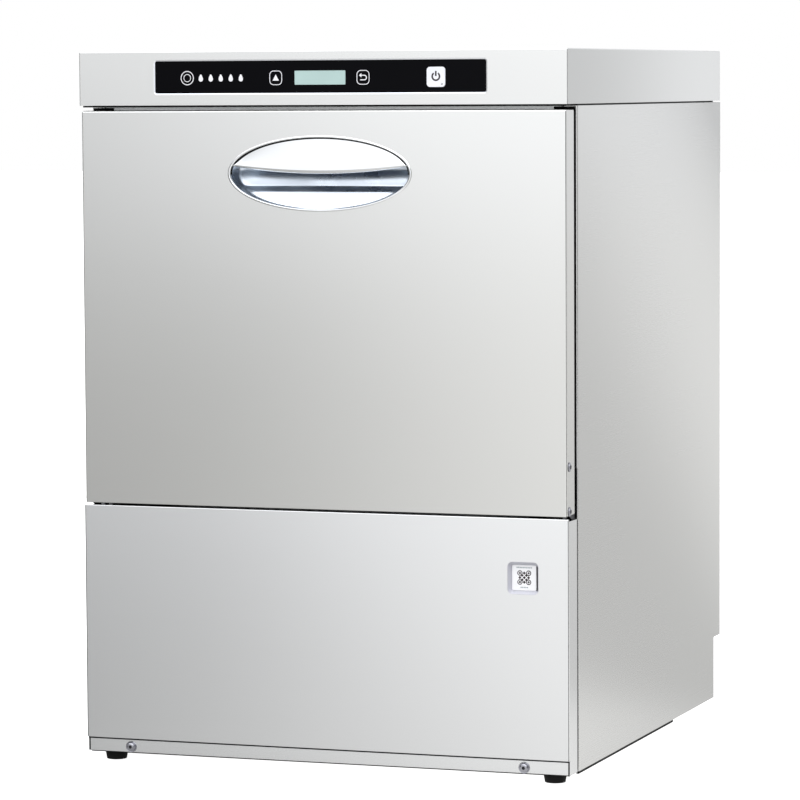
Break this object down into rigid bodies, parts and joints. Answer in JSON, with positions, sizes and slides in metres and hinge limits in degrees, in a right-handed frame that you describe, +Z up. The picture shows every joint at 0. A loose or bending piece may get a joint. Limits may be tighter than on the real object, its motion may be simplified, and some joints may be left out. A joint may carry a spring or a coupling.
{
  "type": "commercial dishwasher",
  "caption": "Undercounter commercial dishwasher in brushed steel, with a drop-down door with an oval cup handle, a black control strip, a rack chamber with spinning wash arms, and short feet",
  "frame": {"origin": "On the floor, under the middle of the box around the whole machine with its door closed", "axes": "+Z up, the door faces -Y, +X to the right of someone who faces the door"},
  "size_m": [0.6, 0.66, 0.84],
  "materials": {
    "brushed_steel": "satin brushed stainless sheet, folded edges",
    "galvanised_steel": "plain steel sheet, duller than the casing",
    "inner_steel": "smooth stainless",
    "polished_steel": "bright polished stainless",
    "zinc_steel": "plain bright steel",
    "control_glass": "black, glossy, printed from behind",
    "key_black": "black, glossy, with a pale outlined symbol",
    "key_white": "white, slightly translucent",
    "display": "pale green lit display",
    "board": "green circuit board",
    "label": "white printed film",
    "foot_rubber": "matte black",
    "seal_rubber": "matte black, soft",
    "hose_rubber": "matte black",
    "rack_plastic": "moulded blue",
    "filter_plastic": "moulded off-white",
    "post_plastic": "moulded grey",
    "arm_plastic": "moulded dark grey",
    "rinse_arm_plastic": "moulded blue",
    "pump_plastic": "moulded black",
    "motor_aluminium": "cast, plain",
    "box_plastic": "moulded grey"
  },
  "bodies": {
    "cabinet": {"top_cover": "brushed_steel", "side_panel_left": "brushed_steel", "side_panel_right": "brushed_steel", "lower_front_panel": "brushed_steel", "base_frame": "brushed_steel", "back_panel": "galvanised_steel", "rear_service_plate": "galvanised_steel", "front_frame": "inner_steel", "wash_chamber": "inner_steel", "rack_rail_left": "inner_steel", "rack_rail_right": "inner_steel", "surface_filter": "inner_steel", "riser_pipe": "inner_steel", "boiler": "inner_steel", "panel_screw_left": "polished_steel", "panel_screw_right": "polished_steel", "hinge_bracket_left": "zinc_steel", "hinge_bracket_right": "zinc_steel", "spring_seat_left": "zinc_steel", "spring_seat_right": "zinc_steel", "balance_spring_left": "zinc_steel", "balance_spring_right": "zinc_steel", "tank_heater": "zinc_steel", "control_glass": "control_glass", "display_window": "display", "control_board": "board", "service_label": "label", "foot_front_left": "foot_rubber", "foot_front_right": "foot_rubber", "foot_rear_left": "foot_rubber", "foot_rear_right": "foot_rubber", "door_seal": "seal_rubber", "delivery_hose": "hose_rubber", "dish_rack": "rack_plastic", "sump_filter": "filter_plastic", "lower_arm_post": "post_plastic", "wash_pump_volute": "pump_plastic", "wash_pump_motor": "motor_aluminium", "drain_pump": "filter_plastic", "fill_valve": "filter_plastic", "cable_gland": "pump_plastic", "electrical_box": "box_plastic"},
    "door": {"door_outer_skin": "brushed_steel", "door_inner_liner": "inner_steel", "door_handle_cup": "polished_steel", "hinge_arm_left": "zinc_steel", "hinge_arm_right": "zinc_steel", "door_screw_upper_left": "polished_steel", "door_screw_upper_right": "polished_steel", "door_screw_lower_left": "polished_steel", "door_screw_lower_right": "polished_steel"},
    "spring_rod_left": {"spring_rod_left": "zinc_steel"},
    "spring_rod_right": {"spring_rod_right": "zinc_steel"},
    "lower_wash_arm": {"lower_wash_arm": "arm_plastic"},
    "lower_rinse_arm": {"lower_rinse_arm": "rinse_arm_plastic"},
    "upper_wash_arm": {"upper_wash_arm": "arm_plastic"},
    "upper_rinse_arm": {"upper_rinse_arm": "rinse_arm_plastic"},
    "start_key": {"start_key": "key_white"},
    "up_key": {"up_key": "key_black"},
    "return_key": {"return_key": "key_black"}
  },
  "joints": [
    {"name": "door_hinge", "type": "hinge", "parent": "cabinet", "child": "door", "pos_m": [0, -0.316, 0.326], "axis": [1, 0, 0], "range_deg": [0, 90], "stiffness_Nm_per_rad": 8, "springref_deg": -28.65},
    {"name": "spring_rod_left_slide", "type": "slide", "parent": "cabinet", "child": "spring_rod_left", "axis": [0, 0, 1], "range_m": [0, 0.0441], "deforming": ["balance_spring_left"]},
    {"name": "spring_rod_right_slide", "type": "slide", "parent": "cabinet", "child": "spring_rod_right", "axis": [0, 0, 1], "range_m": [0, 0.0441], "deforming": ["balance_spring_right"]},
    {"name": "lower_wash_arm_spin", "type": "hinge", "parent": "cabinet", "child": "lower_wash_arm", "pos_m": [0, -0.029, 0.375], "axis": [0, 0, 1], "continuous": true},
    {"name": "lower_rinse_arm_spin", "type": "hinge", "parent": "cabinet", "child": "lower_rinse_arm", "pos_m": [0, -0.029, 0.392], "axis": [0, 0, 1], "continuous": true},
    {"name": "upper_wash_arm_spin", "type": "hinge", "parent": "cabinet", "child": "upper_wash_arm", "pos_m": [0, -0.029, 0.729], "axis": [0, 0, 1], "continuous": true},
    {"name": "upper_rinse_arm_spin", "type": "hinge", "parent": "cabinet", "child": "upper_rinse_arm", "pos_m": [0, -0.029, 0.7115], "axis": [0, 0, 1], "continuous": true},
    {"name": "start_key_press", "type": "slide", "parent": "cabinet", "child": "start_key", "axis": [0, 1, 0], "range_m": [0, 0.0008], "stiffness_N_per_m": 600, "springref_m": -0.0003},
    {"name": "up_key_press", "type": "slide", "parent": "cabinet", "child": "up_key", "axis": [0, 1, 0], "range_m": [0, 0.0008], "stiffness_N_per_m": 600, "springref_m": -0.0003},
    {"name": "return_key_press", "type": "slide", "parent": "cabinet", "child": "return_key", "axis": [0, 1, 0], "range_m": [0, 0.0008], "stiffness_N_per_m": 600, "springref_m": -0.0003}
  ],
  "couplings": [
    {"joint": "spring_rod_left_slide", "follows": "door_hinge", "m_per_rad": 0.02801},
    {"joint": "spring_rod_right_slide", "follows": "door_hinge", "m_per_rad": 0.02801}
  ]
}
